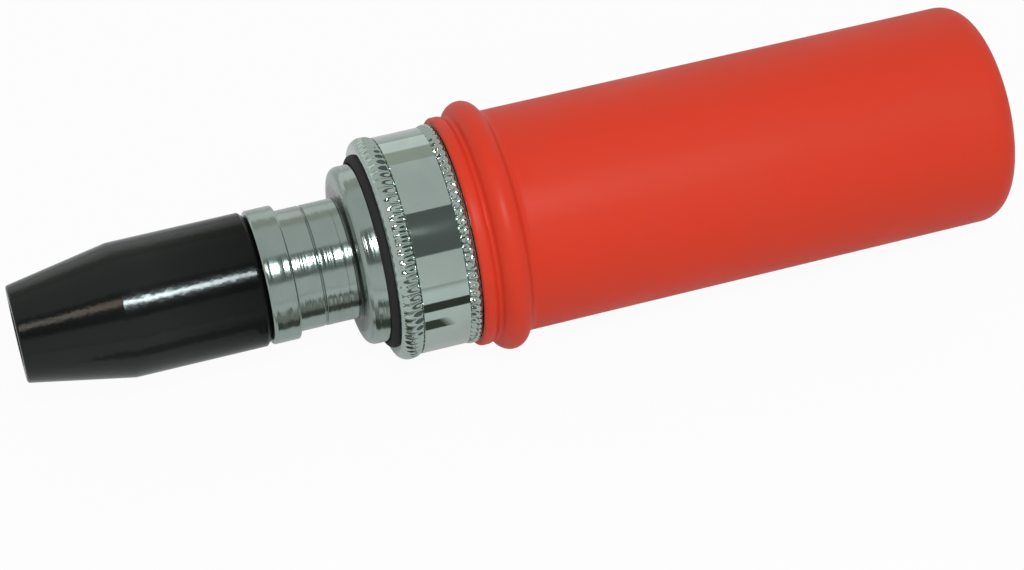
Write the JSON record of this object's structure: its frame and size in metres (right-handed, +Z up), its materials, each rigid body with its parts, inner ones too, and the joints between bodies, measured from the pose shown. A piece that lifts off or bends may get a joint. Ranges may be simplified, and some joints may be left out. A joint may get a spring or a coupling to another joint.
{
  "type": "hand impact driver",
  "caption": "Hand impact driver: a struck, rubber-sleeved handle slides over a sprung cam spindle that turns a square-drive holder for hex bits.",
  "frame": {"origin": "on the surface that the tool lies on, under the middle of its length, with the bead of the grip touching that surface", "axes": "+X along the tool from the bit holder's tip to the struck end, +Z up"},
  "size_m": [0.1642, 0.0414, 0.0414],
  "materials": {
    "black_steel": "black oxide, oiled and glossy",
    "chrome": "bright chrome plate",
    "plated_barrel": "satin chrome plate",
    "bright_steel": "ground and hardened",
    "spring_steel": "oiled spring wire",
    "black_rubber": "matt black rubber",
    "red_rubber": "smooth moulded red rubber, satin"
  },
  "bodies": {
    "handle": {"barrel": "plated_barrel", "striking_head": "bright_steel", "head_pin": "bright_steel", "grip_sleeve": "red_rubber", "knurled_collar": "chrome", "wiper_seal": "black_rubber", "cam_pin": "bright_steel", "spring_seat": "bright_steel", "main_spring": "spring_steel"},
    "thrust": {"thrust_washer": "bright_steel"},
    "spindle": {"spindle": "chrome", "grease_o_ring": "black_rubber", "detent_spring": "spring_steel"},
    "detent": {"detent_ball": "bright_steel"},
    "holder": {"bit_holder": "black_steel", "bit_retaining_ring": "spring_steel"}
  },
  "joints": [
    {"name": "strike_stroke", "type": "slide", "parent": "handle", "child": "thrust", "axis": [1, 0, 0], "range_m": [0, 0.005], "stiffness_N_per_m": 8000, "deforming": ["main_spring"]},
    {"name": "cam_turn", "type": "hinge", "parent": "thrust", "child": "spindle", "pos_m": [0, 0, 0.0207], "axis": [1, 0, 0], "range_deg": [0, 20]},
    {"name": "holder_pull", "type": "slide", "parent": "spindle", "child": "holder", "axis": [-1, 0, 0], "range_m": [0, 0.014]},
    {"name": "detent_press", "type": "slide", "parent": "spindle", "child": "detent", "axis": [0, 0, -1], "range_m": [0, 0.0006], "stiffness_N_per_m": 400, "deforming": ["detent_spring"]}
  ],
  "couplings": [
    {"joint": "cam_turn", "follows": "strike_stroke", "rad_per_m": 69.813}
  ]
}
